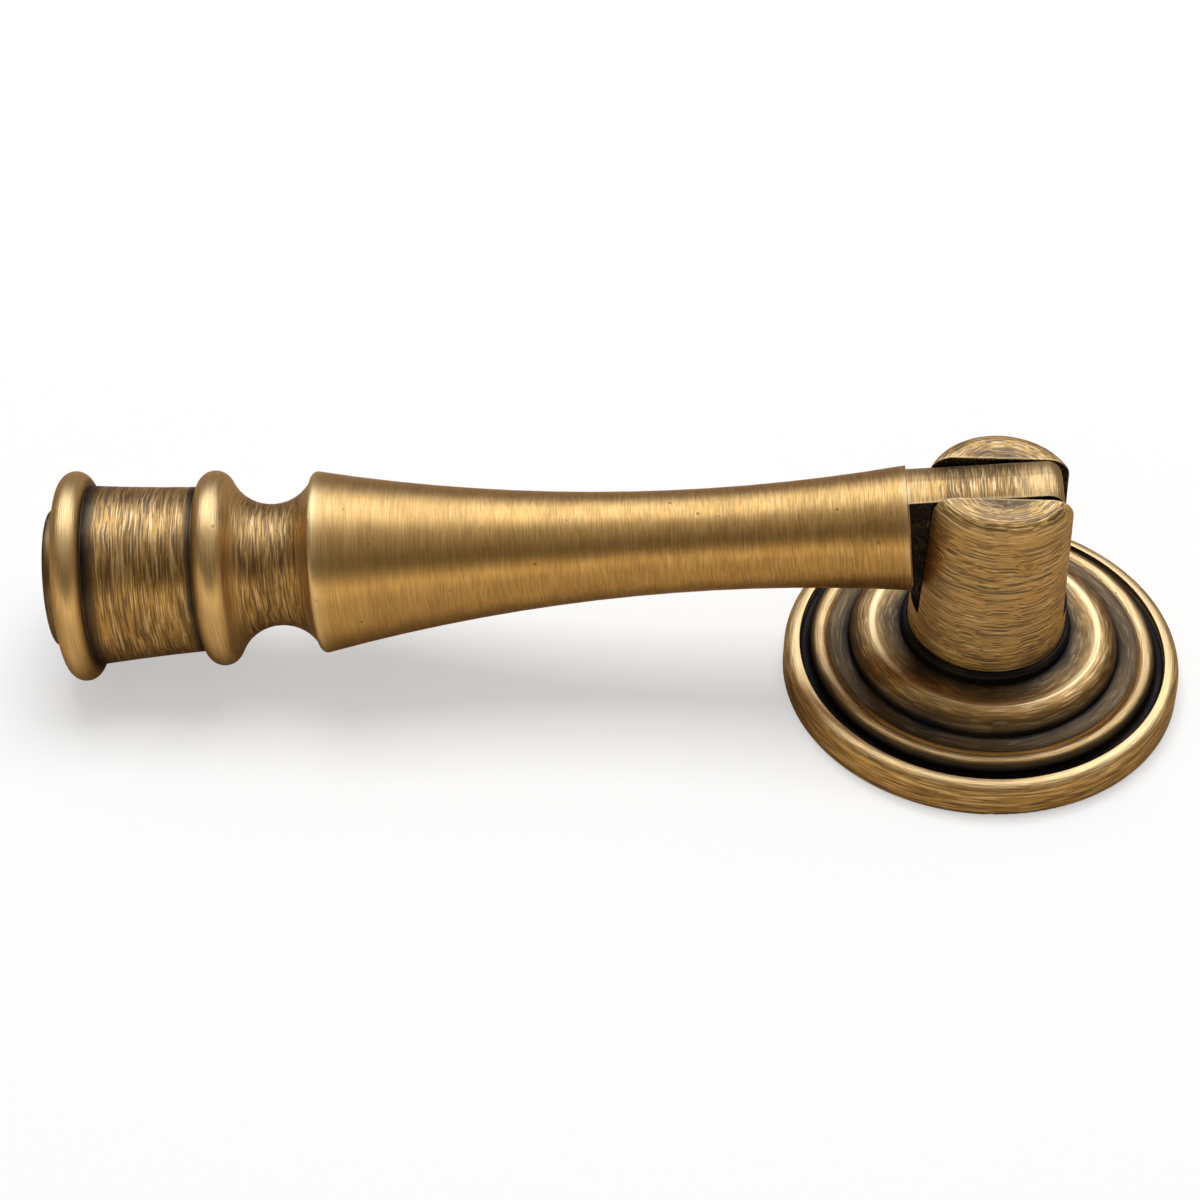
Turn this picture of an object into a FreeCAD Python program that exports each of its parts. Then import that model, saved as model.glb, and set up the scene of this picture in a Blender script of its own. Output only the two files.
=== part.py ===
import FreeCAD, Part
import math
import os

# Drop pull for a drawer or cabinet door, in millimetres, +Z up.
# The origin is the centre of the rose's back face, so z = 0 is the face that the pull is fixed to.
# The post stands along +Z. The handle points to -X, and its end bead rests on z = 0.

# Rose: widths of its mouldings from the post outwards, which add up to a radius of 16
SEAT_CLEARANCE = 0.05
LIP_WIDTH = 0.45
LIP_HEIGHT = 1.0
DISH_WIDTH = 2.3
DISH_SAG = 0.12
OVOLO_RADIUS = 1.8
BAND_WIDTH = 1.55
BAND_SAG = 0.1
BAND_RISE = 0.7
BEAD_RING_WIDTH = 1.5
BEAD_RING_SWEEP = 150.0
GROOVE_WIDTH = 0.8
GROOVE_DEPTH = 0.75
RIM_WIDTH = 1.2
RIM_ROUND = 1.0
RIM_HEIGHT = 2.9
BACK_ROUND = 0.25

# Hollow back of the rose: a ring-shaped recess round a hub that stops short of the back face
HUB_WALL = 2.0
HUB_SETBACK = 0.3
RECESS_WIDTH = 5.5
RECESS_DEPTH = 1.8

# Post: a slightly tapered round post with a rounded crown, on a spigot staked over in the rose's hub
POST_FOOT_RADIUS = 6.35
POST_TOP_RADIUS = 6.0
CROWN_ROUND = 1.6
CROWN_ABOVE_PIVOT = 4.7
WEB_HEIGHT = 3.44
SPIGOT_RADIUS = 4.0
STAKE_DEPTH = 0.8
SLOT_EDGE_ROUND = 0.15

# Tapped hole for the fixing screw: M4, drawn at its tap drill size
TAP_DRILL_RADIUS = 1.65
TAP_POINT_ANGLE = 118.0
TAP_ROOF = 0.7

# Hinge: pin, tongue and slot
PIN_RADIUS = 1.5
PIN_CLEARANCE = 0.05
PIN_BLIND_DEPTH = 2.2
TONGUE_THICKNESS = 4.1
TONGUE_RADIUS = 4.84
TONGUE_CLEARANCE = 0.2
TAIL_LENGTH = 5.2
TAIL_ROUND = 1.3
TAIL_CLEARANCE = 0.7
SHOULDER_CLEARANCE = 0.4

# Handle: stretches along its axis from the shoulder to the end, and their radii
SHOULDER_STEP = 0.1
SHOULDER_ROUND = 0.08
WAIST_LENGTH = 19.5
WAIST_RADIUS = 4.09
TRUMPET_LENGTH = 46.47
COLLAR_RADIUS = 7.22
COLLAR_ROUND = 0.5
COVE_SECTION = 3.67
COVE_RADIUS = 4.84
BEAD_SECTION = 1.34
BEAD_RISE = 1.23
NECK_LENGTH = 8.68
NECK_RADIUS = 6.55
NECK_FLARE = 0.6
NECK_SAG = 0.06
END_BEAD_SECTION = 1.18
END_BEAD_RISE = 1.23
END_BEAD_TUCK = 35.0
END_GROOVE_WIDTH = 0.5
END_GROOVE_DEPTH = 0.45
BOSS_RADIUS = 5.45
BOSS_LENGTH = 0.74
BOSS_ROUND = 0.3

# Heights on the post, from the back face up
band_z = RIM_HEIGHT + BAND_RISE
seat_z = band_z + OVOLO_RADIUS
slot_floor_z = seat_z + WEB_HEIGHT
pivot_z = slot_floor_z + math.hypot(TAIL_LENGTH, TONGUE_RADIUS) + TAIL_CLEARANCE
crown_z = pivot_z + CROWN_ABOVE_PIVOT
slot_width = TONGUE_THICKNESS + 2 * TONGUE_CLEARANCE
post_reach = max(POST_FOOT_RADIUS, POST_TOP_RADIUS)

PIVOT = FreeCAD.Vector(0, 0, pivot_z)
AXIS_X = FreeCAD.Vector(1, 0, 0)
AXIS_Y = FreeCAD.Vector(0, 1, 0)
AXIS_Z = FreeCAD.Vector(0, 0, 1)
ORIGIN = FreeCAD.Vector(0, 0, 0)
FULL_TURN = 360.0


def polar(centre, radius, degrees):
    """Point at an angle on a circle, in profile coordinates."""
    angle = math.radians(degrees)
    return (centre[0] + radius * math.cos(angle), centre[1] + radius * math.sin(angle))


class Profile:
    """Half section of a turned piece, drawn point to point in the XZ plane."""

    def __init__(self, start):
        self.start = start
        self.end = start
        self.edges = []

    @staticmethod
    def vector(point):
        return FreeCAD.Vector(point[0], 0, point[1])

    def line(self, *points):
        for point in points:
            self.edges.append(Part.LineSegment(self.vector(self.end), self.vector(point)).toShape())
            self.end = point
        return self

    def arc(self, middle, end):
        self.edges.append(Part.Arc(self.vector(self.end), self.vector(middle), self.vector(end)).toShape())
        self.end = end
        return self

    def turn(self, centre, radius, start, end):
        """Arc about a centre between two angles, from the profile's present end."""
        return self.arc(polar(centre, radius, (start + end) / 2), polar(centre, radius, end))

    def revolve(self, axis):
        self.line(self.start)
        face = Part.Face(Part.Wire(self.edges))
        return face.revolve(ORIGIN, axis, FULL_TURN)


def middle_of(first, second):
    return ((first[0] + second[0]) / 2, (first[1] + second[1]) / 2)


def make_rose():
    """Turned backplate: lip, dish, ovolo, hollow band, bead, groove and rim round a bored centre."""
    seat_radius = POST_FOOT_RADIUS + SEAT_CLEARANCE
    lip_radius = seat_radius + LIP_WIDTH
    crest_radius = lip_radius + DISH_WIDTH
    ovolo_foot = crest_radius + OVOLO_RADIUS
    band_radius = ovolo_foot + BAND_WIDTH
    bead_radius = band_radius + BEAD_RING_WIDTH
    rim_inner = bead_radius + GROOVE_WIDTH
    rose_radius = rim_inner + RIM_WIDTH
    bead_section = BEAD_RING_WIDTH / 2
    bead_centre = (band_radius + bead_section, RIM_HEIGHT)
    lip_centre = (seat_radius, seat_z + LIP_HEIGHT - LIP_WIDTH)
    rim_centre = (rose_radius - RIM_ROUND, RIM_HEIGHT - RIM_ROUND)
    back_centre = (rose_radius - BACK_ROUND, BACK_ROUND)
    hub_radius = SPIGOT_RADIUS + HUB_WALL
    recess_radius = hub_radius + RECESS_WIDTH

    profile = Profile((SPIGOT_RADIUS, seat_z))
    profile.line((seat_radius, seat_z), (seat_radius, seat_z + LIP_HEIGHT))
    profile.turn(lip_centre, LIP_WIDTH, 90, 0)
    profile.line((lip_radius, seat_z))
    profile.arc(((lip_radius + crest_radius) / 2, seat_z - DISH_SAG), (crest_radius, seat_z))
    profile.turn((crest_radius, band_z), OVOLO_RADIUS, 90, 0)
    profile.arc(((ovolo_foot + band_radius) / 2, band_z - BAND_SAG), (band_radius, band_z))
    profile.line(polar(bead_centre, bead_section, BEAD_RING_SWEEP))
    profile.turn(bead_centre, bead_section, BEAD_RING_SWEEP, 0)
    profile.arc(((bead_radius + rim_inner) / 2, RIM_HEIGHT - GROOVE_DEPTH), (rim_inner, RIM_HEIGHT))
    profile.line((rim_centre[0], RIM_HEIGHT))
    profile.turn(rim_centre, RIM_ROUND, 90, 0)
    profile.line((rose_radius, BACK_ROUND))
    profile.turn(back_centre, BACK_ROUND, 0, -90)
    profile.line((recess_radius, 0), (recess_radius, RECESS_DEPTH), (hub_radius, RECESS_DEPTH))
    profile.line((hub_radius, HUB_SETBACK), (SPIGOT_RADIUS + STAKE_DEPTH, HUB_SETBACK))
    profile.line((SPIGOT_RADIUS, HUB_SETBACK + STAKE_DEPTH))
    return profile.revolve(AXIS_Z)


def make_post_blank():
    """Turned post before it is slotted and drilled."""
    crown_centre = (POST_TOP_RADIUS - CROWN_ROUND, crown_z - CROWN_ROUND)
    profile = Profile((0, HUB_SETBACK))
    profile.line((SPIGOT_RADIUS + STAKE_DEPTH, HUB_SETBACK), (SPIGOT_RADIUS, HUB_SETBACK + STAKE_DEPTH))
    profile.line((SPIGOT_RADIUS, seat_z))
    profile.line((POST_FOOT_RADIUS, seat_z), (POST_TOP_RADIUS, crown_centre[1]))
    profile.turn(crown_centre, CROWN_ROUND, 0, 90)
    profile.line((0, crown_z))
    return profile.revolve(AXIS_Z)


def slot_mouth_edges(shape):
    """Edges where the slot's two walls meet the outside of the post."""
    tolerance = 1e-4
    chosen = []
    for edge in shape.Edges:
        box = edge.BoundBox
        in_wall = box.YLength < tolerance and abs(abs(box.YMin) - slot_width / 2) < tolerance
        if in_wall and box.ZMax > slot_floor_z + tolerance:
            chosen.append(edge)
    return chosen


def pin_hole():
    """Space that the pin fills: from its blind end in the near cheek out through the far one."""
    blind_end = -slot_width / 2 - PIN_BLIND_DEPTH
    length = post_reach - blind_end
    return Part.makeCylinder(PIN_RADIUS, length, FreeCAD.Vector(0, blind_end, pivot_z), AXIS_Y)


def make_post(blank):
    """Slotted post with the pin's hole across its cheeks and the tapped hole in its foot."""
    width = 2 * post_reach
    corner = FreeCAD.Vector(-width / 2, -slot_width / 2, slot_floor_z)
    post = blank.cut(Part.makeBox(width, slot_width, crown_z - slot_floor_z, corner))
    post = post.makeFillet(SLOT_EDGE_ROUND, slot_mouth_edges(post))

    point_height = TAP_DRILL_RADIUS / math.tan(math.radians(TAP_POINT_ANGLE / 2))
    tap_top_z = slot_floor_z - TAP_ROOF - point_height
    mouth = FreeCAD.Vector(0, 0, HUB_SETBACK)
    drill = Part.makeCylinder(TAP_DRILL_RADIUS, tap_top_z - HUB_SETBACK, mouth)
    point = Part.makeCone(TAP_DRILL_RADIUS, 0, point_height, FreeCAD.Vector(0, 0, tap_top_z))
    return post.cut([drill.fuse(point), pin_hole()])


def make_hinge_pin(blank):
    """Pin driven in from the far cheek and dressed flush with it."""
    return pin_hole().common(blank)


def shoulder_station():
    """Distance from the pivot to the handle's shoulder, which swings clear of the crown's rounded corner."""
    corner = polar((POST_TOP_RADIUS - CROWN_ROUND, CROWN_ABOVE_PIVOT - CROWN_ROUND), CROWN_ROUND, 45)
    reach_across = math.sqrt(corner[0] ** 2 - (slot_width / 2) ** 2)
    return math.hypot(reach_across, corner[1]) + SHOULDER_CLEARANCE


def make_handle():
    """Turned drop with a flat tongue, drawn along -X from the pivot and then swung down to rest."""
    shoulder = shoulder_station()
    shoulder_radius = TONGUE_RADIUS + SHOULDER_STEP
    collar = shoulder + TRUMPET_LENGTH
    bead_radius = NECK_RADIUS + BEAD_RISE - BEAD_SECTION
    # The cove starts at the collar's edge and runs into the bead without a crease
    cove_start = (-collar - COLLAR_ROUND, COLLAR_RADIUS - COLLAR_ROUND)
    cove_radius = COVE_RADIUS + COVE_SECTION
    cove = -cove_start[0] + math.sqrt(COVE_SECTION ** 2 - (cove_radius - cove_start[1]) ** 2)
    bead = cove + math.sqrt((COVE_SECTION + BEAD_SECTION) ** 2 - (cove_radius - bead_radius) ** 2)
    run_in = math.degrees(math.atan2(cove_radius - bead_radius, bead - cove))
    cove_end = polar((-cove, cove_radius), COVE_SECTION, 180 + run_in)
    neck_start = bead + math.sqrt(BEAD_SECTION ** 2 - (NECK_RADIUS - bead_radius) ** 2)
    neck_end = neck_start + NECK_LENGTH
    neck_end_radius = NECK_RADIUS + NECK_FLARE
    end_bead_radius = neck_end_radius + END_BEAD_RISE - END_BEAD_SECTION
    end_bead = neck_end + math.sqrt(END_BEAD_SECTION ** 2 - (neck_end_radius - end_bead_radius) ** 2)
    end_bead_centre = (-end_bead, end_bead_radius)
    tuck = polar(end_bead_centre, END_BEAD_SECTION, 180 + END_BEAD_TUCK)
    groove_radius = BOSS_RADIUS - END_GROOVE_DEPTH
    boss_start = tuck[0] - END_GROOVE_WIDTH
    boss_end = boss_start - BOSS_LENGTH
    neck_middle = middle_of((-neck_start, NECK_RADIUS), (-neck_end, neck_end_radius))
    shoulder_centre = (-shoulder - SHOULDER_ROUND, shoulder_radius - SHOULDER_ROUND)

    profile = Profile((TAIL_LENGTH, 0))
    profile.line((TAIL_LENGTH, TONGUE_RADIUS - TAIL_ROUND))
    profile.turn((TAIL_LENGTH - TAIL_ROUND, TONGUE_RADIUS - TAIL_ROUND), TAIL_ROUND, 0, 90)
    profile.line((-shoulder, TONGUE_RADIUS), (-shoulder, shoulder_centre[1]))
    profile.turn(shoulder_centre, SHOULDER_ROUND, 0, 90)
    profile.arc((-shoulder - WAIST_LENGTH, WAIST_RADIUS), (-collar, COLLAR_RADIUS))
    profile.turn((-collar, cove_start[1]), COLLAR_ROUND, 90, 180)
    profile.arc((-cove, COVE_RADIUS), cove_end)
    profile.arc((-bead, bead_radius + BEAD_SECTION), (-neck_start, NECK_RADIUS))
    profile.arc((neck_middle[0], neck_middle[1] - NECK_SAG), (-neck_end, neck_end_radius))
    profile.arc((-end_bead, end_bead_radius + END_BEAD_SECTION), tuck)
    profile.line((tuck[0], groove_radius), (boss_start, groove_radius), (boss_start, BOSS_RADIUS))
    profile.line((boss_end + BOSS_ROUND, BOSS_RADIUS))
    profile.turn((boss_end + BOSS_ROUND, BOSS_RADIUS - BOSS_ROUND), BOSS_ROUND, 90, 180)
    profile.line((boss_end, 0))
    turned = profile.revolve(AXIS_X)

    flats = []
    for side in (-1, 1):
        near_face = side * TONGUE_THICKNESS / 2
        low_y = min(near_face, near_face + side * shoulder_radius)
        corner = FreeCAD.Vector(-shoulder, low_y, -shoulder_radius)
        flats.append(Part.makeBox(shoulder + TAIL_LENGTH, shoulder_radius, 2 * shoulder_radius, corner))
    bore_start = FreeCAD.Vector(0, -TONGUE_THICKNESS, 0)
    bore = Part.makeCylinder(PIN_RADIUS + PIN_CLEARANCE, 2 * TONGUE_THICKNESS, bore_start, AXIS_Y)
    handle = turned.cut(flats + [bore])

    # The end bead's section circle touches z = 0 at this pitch below the horizontal
    drop = (pivot_z - END_BEAD_SECTION) / math.hypot(end_bead, end_bead_radius)
    pitch = math.degrees(math.asin(drop) - math.atan2(end_bead_radius, end_bead))
    handle.translate(PIVOT)
    handle.rotate(PIVOT, AXIS_Y, -pitch)
    return handle


def main():
    os.makedirs("parts", exist_ok=True)
    blank = make_post_blank()
    nodes = {
        "rose": make_rose(),
        "post": make_post(blank),
        "hinge_pin": make_hinge_pin(blank),
        "handle": make_handle(),
    }
    for name, shape in nodes.items():
        shape.exportStep(os.path.join("parts", name + ".step"))


main()
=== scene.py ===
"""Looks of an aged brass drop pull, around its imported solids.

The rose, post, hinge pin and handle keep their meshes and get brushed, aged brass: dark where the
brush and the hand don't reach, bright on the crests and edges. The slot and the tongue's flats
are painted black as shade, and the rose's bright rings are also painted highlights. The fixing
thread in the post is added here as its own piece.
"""

import logging
import math
from dataclasses import dataclass
from enum import Enum
from typing import Any, Mapping, Optional, Sequence, Tuple, Union

import bmesh
import bpy
from mathutils import Matrix, Vector


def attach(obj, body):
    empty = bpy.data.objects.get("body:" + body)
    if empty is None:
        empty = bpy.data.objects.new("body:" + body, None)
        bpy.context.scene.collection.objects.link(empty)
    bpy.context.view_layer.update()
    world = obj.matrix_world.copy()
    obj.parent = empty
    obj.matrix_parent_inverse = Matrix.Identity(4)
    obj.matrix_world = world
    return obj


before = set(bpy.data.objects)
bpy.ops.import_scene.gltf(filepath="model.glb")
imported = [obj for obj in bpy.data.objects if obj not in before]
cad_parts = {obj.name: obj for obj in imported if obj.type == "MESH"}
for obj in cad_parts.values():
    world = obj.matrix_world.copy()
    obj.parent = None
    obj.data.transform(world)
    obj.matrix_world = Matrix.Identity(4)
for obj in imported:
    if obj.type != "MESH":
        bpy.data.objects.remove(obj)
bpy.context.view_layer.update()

MM = 0.001
LOG = logging.getLogger("drop_pull")

Socket = bpy.types.NodeSocket
Outputs = Mapping[str, bpy.types.NodeSocket]
Feed = Union[bpy.types.NodeSocket, float, Sequence[float]]
Ageing = Tuple[bpy.types.NodeSocket, bpy.types.NodeSocket]
Margins = Tuple[float, float]
Triple = Tuple[float, float, float]
Colour = Triple


class Body(Enum):
    """The two moving bodies of the pull."""

    BASE = "base"
    DROP = "drop"


class Slot(Enum):
    """The record's material slots."""

    ROSE = "rose_brass"
    POST = "post_brass"
    PIN = "pin_brass"
    HANDLE = "handle_brass"


class Across(Enum):
    """The measure that a piece's ageing follows: out from its turning axis, or along it."""

    RADIUS = "Radius"
    ALONG = "Along"


class Task(Enum):
    """What a lamp is there for: the shine on the brass, or the light and shadow on the floor."""

    SHINE = "shine"
    FILL = "fill"


@dataclass(frozen=True)
class Station:
    """How the brass has aged at one place of a turned profile.

    Attributes:
        at: Place along the profile's measure, in mm.
        patina: Dark patina, from 0 to 1.
        wear_and_highlight: Bright rubbing, from 0 to 1; on the rose's crest, bead ring and rim it
            is also a
        painted highlight.
        marks: Strength of the single brush cuts, from 0 to 1.
    """

    at: float
    patina: float
    wear_and_highlight: float
    marks: float


@dataclass(frozen=True)
class Brushing:
    """How a piece was brushed on the lathe.

    Attributes:
        turns: Strokes per radian round the axis; fewer makes longer strokes.
        fineness: Brush lines per mm across the strokes.
        waver: How far a stroke wanders sideways, in mm.
        seed: Place in the noise, so that no two pieces have the same strokes.
        depth: Depth of the marks in the bump, in mm.
        roughness: Roughness of the brushed brass.
    """

    turns: float
    fineness: float
    waver: float
    seed: float
    depth: float
    roughness: float


@dataclass(frozen=True)
class BrassTones:
    """Colours of the brass, linear.

    Attributes:
        worn: Rubbed bright; also the colour of the painted highlights on the rose's rings.
        clean: Brushed, without patina.
        brown: Under a little patina.
        umber: Under more patina.
        black: Under full patina.
        cut: In the cuts and pits.
    """

    worn: Colour = (0.80, 0.55, 0.235)
    clean: Colour = (0.51, 0.257, 0.041)
    brown: Colour = (0.27, 0.129, 0.018)
    umber: Colour = (0.090, 0.048, 0.012)
    black: Colour = (0.009, 0.008, 0.007)
    cut: Colour = (0.035, 0.018, 0.006)


@dataclass(frozen=True)
class Layer:
    """One layer of noise on a turned piece; a layer of strokes is told against the piece's own.

    Attributes:
        turns: Its rate round the axis.
        rate: Its rate across, per mm.
        detail: Octaves of finer noise.
    """

    turns: float
    rate: float
    detail: float


@dataclass(frozen=True)
class BrushPattern:
    """The shapes of the brush marks, which all the pieces share.

    Attributes:
        sway: How the strokes wander.
        cloud: The cloudy stains.
        lines: The fine brush lines.
        grain: The coarser strokes that turn into cuts and ridges.
        shift: Keeps the two layers of strokes apart in the noise.
        roughness: Share that the strokes' finer octaves keep.
        cuts: Where the grain turns into a cut.
        ridges: Where it turns into a ridge.
        pit_scale: Cells per mm that may hold a pit.
        pits: Where a pit ends and where it is deepest, in cells.
        pit_choice: Chance from which a cell has a pit.
    """

    sway: Layer = Layer(turns=2.2, rate=0.35, detail=1.0)
    cloud: Layer = Layer(turns=2.4, rate=0.5, detail=3.0)
    lines: Layer = Layer(turns=0.75, rate=1.0, detail=1.0)
    grain: Layer = Layer(turns=1.0, rate=0.62, detail=0.0)
    shift: float = 9.0
    roughness: float = 0.6
    cuts: Margins = (0.44, 0.36)
    ridges: Margins = (0.57, 0.66)
    pit_scale: float = 0.7
    pits: Margins = (0.12, 0.05)
    pit_choice: Margins = (0.45, 0.6)


@dataclass(frozen=True)
class Weathering:
    """How strongly patina, wear and brush marks act on the brass.

    Attributes:
        plain_depth: Strength of the lines and stains without single cuts.
        marked_depth: What the cuts add to that.
        patina_hides: Share of the lines that full patina hides.
        streak_cleans: How far a bright line takes patina away.
        cloud_stains: How far a stain adds patina.
        brown_at: Patina at which the brass is brown.
        umber_at: Patina at which it is umber.
        patina_covers: Share of the cuts that full patina hides.
        pit_strength: Strength of a pit, against a cut.
        cut_cover: How far a cut darkens the brass.
        ridge_cover: How far a ridge brightens it.
        wear_level: Wear between the lines and stains.
        cloud_rubs: How far the stains change the wear.
        streak_rubs: How far the lines change the wear.
        patina_dulls: What patina adds to the roughness.
        wear_dulls: What wear adds to it.
        streak_dulls: What a line adds to it.
        patina_insulates: What full patina takes from the metal.
        line_height: Relief of the lines.
        ridge_height: Relief of the ridges.
        cut_depth: Relief of the cuts, downwards.
    """

    plain_depth: float = 0.3
    marked_depth: float = 0.7
    patina_hides: float = 0.6
    streak_cleans: float = 0.7
    cloud_stains: float = 0.85
    brown_at: float = 0.38
    umber_at: float = 0.68
    patina_covers: float = 0.8
    pit_strength: float = 0.8
    cut_cover: float = 0.85
    ridge_cover: float = 0.55
    wear_level: float = 0.85
    cloud_rubs: float = 1.2
    streak_rubs: float = 1.0
    patina_dulls: float = 0.12
    wear_dulls: float = 0.02
    streak_dulls: float = 0.25
    patina_insulates: float = 0.2
    line_height: float = 0.6
    ridge_height: float = 0.5
    cut_depth: float = 0.6


@dataclass(frozen=True)
class Lacquer:
    """The thin clear coat on the brass, which patina has eaten away.

    Attributes:
        weight: Its weight where there is no patina.
        ior: Its index of refraction.
        roughness: Its roughness.
        edge_tint: Tint of the brass seen at a low angle.
    """

    weight: float = 0.4
    ior: float = 1.8
    roughness: float = 0.45
    edge_tint: Colour = (0.45, 0.33, 0.2)


def aged(*rows: Sequence[float]) -> Tuple[Station, ...]:
    """Makes stations of rows of place, patina, wear and marks."""
    return tuple(Station(*row) for row in rows)


def offset(base: float, margins: Margins) -> Margins:
    """Places a mask's two margins from a measure of the piece."""
    return base + margins[0], base + margins[1]


class NodeBoard:
    """Adds nodes to one node tree and wires their sockets."""

    MIX_COLOURS = (6, 7)
    MIX_RESULT = 2

    def __init__(self, tree: bpy.types.NodeTree) -> None:
        """Keeps the tree to work on."""
        self.tree = tree

    def add(self, kind: str, **settings: Any) -> bpy.types.Node:
        """Adds one node.

        Args:
            kind: The node's type name.
            **settings: Properties to set on it.

        Returns:
            The new node.
        """
        node = self.tree.nodes.new(kind)
        for name, value in settings.items():
            setattr(node, name, value)
        return node

    def feed(self, socket: Socket, value: Feed) -> None:
        """Links an output to a socket, or sets the socket's own value.

        Args:
            socket: The input socket.
            value: An output socket, a number or a vector.
        """
        if isinstance(value, bpy.types.NodeSocket):
            self.tree.links.new(value, socket)
        else:
            socket.default_value = value

    def fill(self, node: bpy.types.Node, *values: Feed) -> bpy.types.Node:
        """Feeds a node's inputs in order.

        Args:
            node: The node.
            *values: What its first inputs get.

        Returns:
            The node.
        """
        for socket, value in zip(node.inputs, values):
            self.feed(socket, value)
        return node

    def wire(self, node: bpy.types.Node, feeds: Mapping[str, Feed]) -> bpy.types.Node:
        """Feeds a node's inputs by name.

        Args:
            node: The node.
            feeds: What the named inputs get.

        Returns:
            The node.
        """
        for name, value in feeds.items():
            self.feed(node.inputs[name], value)
        return node

    def group(self, tree: bpy.types.NodeTree, **feeds: Feed) -> Outputs:
        """Places a node group, feeds its inputs by name and gives its outputs."""
        return self.wire(self.add("ShaderNodeGroup", node_tree=tree), feeds).outputs

    def math(self, operation: str, *values: Feed, clamp: bool = False) -> Socket:
        """Adds a Math node, kept from 0 to 1 if clamped, and gives its result."""
        node = self.add("ShaderNodeMath", operation=operation, use_clamp=clamp)
        return self.fill(node, *values).outputs[0]

    def times(self, first: Feed, second: Feed) -> Socket:
        """Multiplies two values."""
        return self.math("MULTIPLY", first, second)

    def plus(self, base: Feed, value: Feed, share: Feed) -> Socket:
        """Adds a share of a value to a base."""
        return self.math("MULTIPLY_ADD", value, share, base)

    def rest(self, value: Feed) -> Socket:
        """Gives what is left of 1."""
        return self.math("SUBTRACT", 1.0, value)

    def reach(self, x: Socket, y: Socket) -> Socket:
        """Measures the distance from the Z axis."""
        return self.math("SQRT", self.math("ADD", self.times(x, x), self.times(y, y)))

    def vector(self, operation: str, *values: Feed) -> Socket:
        """Adds a Vector Math node and gives its result."""
        node = self.fill(self.add("ShaderNodeVectorMath", operation=operation), *values)
        return node.outputs["Value" if operation in ("DOT_PRODUCT", "LENGTH") else "Vector"]

    def combine(self, x: Feed, y: Feed, z: Feed) -> Socket:
        """Makes a vector of three values."""
        return self.fill(self.add("ShaderNodeCombineXYZ"), x, y, z).outputs[0]

    def separate(self, vector: Socket) -> Tuple[Socket, ...]:
        """Takes a vector apart into its three values."""
        return tuple(self.fill(self.add("ShaderNodeSeparateXYZ"), vector).outputs)

    def noise(
        self, place: Feed, detail: float, depth: Optional[Feed] = None, roughness: float = 0.55
    ) -> Socket:
        """Adds a noise of unit scale.

        Args:
            place: Where to read it.
            detail: Octaves of finer noise.
            depth: Fourth coordinate, if there is one.
            roughness: Share that each finer octave keeps.

        Returns:
            The noise, around 0.5.
        """
        node = self.add("ShaderNodeTexNoise", noise_dimensions="3D" if depth is None else "4D")
        self.wire(node, {"Vector": place, "Scale": 1.0, "Detail": detail, "Roughness": roughness})
        if depth is not None:
            self.feed(node.inputs["W"], depth)
        return node.outputs[0]

    def step(self, value: Socket, low: float, high: float) -> Socket:
        """Rises smoothly from 0 at one value to 1 at another.

        Args:
            value: What is measured.
            low: Where it is 0.
            high: Where it is 1; below low makes a fall.

        Returns:
            The mask.
        """
        ends = (1.0, 0.0) if high < low else (0.0, 1.0)
        node = self.add("ShaderNodeMapRange", interpolation_type="SMOOTHSTEP")
        return self.fill(node, value, min(low, high), max(low, high), *ends).outputs[0]

    def mix(self, share: Feed, first: Feed, second: Feed) -> Socket:
        """Mixes two colours.

        Args:
            share: Share of the second.
            first: First colour.
            second: Second colour.

        Returns:
            The mixed colour.
        """
        node = self.fill(self.add("ShaderNodeMix", data_type="RGBA"), share)
        for index, value in zip(self.MIX_COLOURS, (first, second)):
            linked = isinstance(value, bpy.types.NodeSocket)
            self.feed(node.inputs[index], value if linked else (*value, 1.0))
        return node.outputs[self.MIX_RESULT]

    def mix_shaders(self, share: Feed, first: Socket, second: Socket) -> Socket:
        """Mixes two shaders; the share is the second's."""
        return self.fill(self.add("ShaderNodeMixShader"), share, first, second).outputs[0]

    def ramp(self, value: Socket, stops: Sequence[Tuple[float, Colour]]) -> Socket:
        """Turns a value from 0 to 1 into colours.

        Args:
            value: The value.
            stops: Places from 0 to 1 in order, with their colours.

        Returns:
            The colour.
        """
        node = self.fill(self.add("ShaderNodeValToRGB"), value)
        elements = node.color_ramp.elements
        for element, (place, colour) in zip(elements, (stops[0], stops[-1])):
            element.position, element.color = place, (*colour, 1.0)
        for place, colour in stops[1:-1]:
            elements.new(place).color = (*colour, 1.0)
        return node.outputs[0]

    def profile(self, value: Socket, stations: Sequence[Station]) -> Tuple[Socket, ...]:
        """Reads the ageing along a profile.

        Args:
            value: The measure that the stations follow, in mm.
            stations: The stations in order.

        Returns:
            Patina, wear and marks.
        """
        low, high = stations[0].at, stations[-1].at
        share = self.math("DIVIDE", self.math("SUBTRACT", value, low), high - low, clamp=True)
        stops = [((s.at - low) / (high - low), (s.patina, s.wear_and_highlight, s.marks)) for s in stations]
        node = self.fill(self.add("ShaderNodeSeparateColor"), self.ramp(share, stops))
        return tuple(node.outputs)


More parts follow.
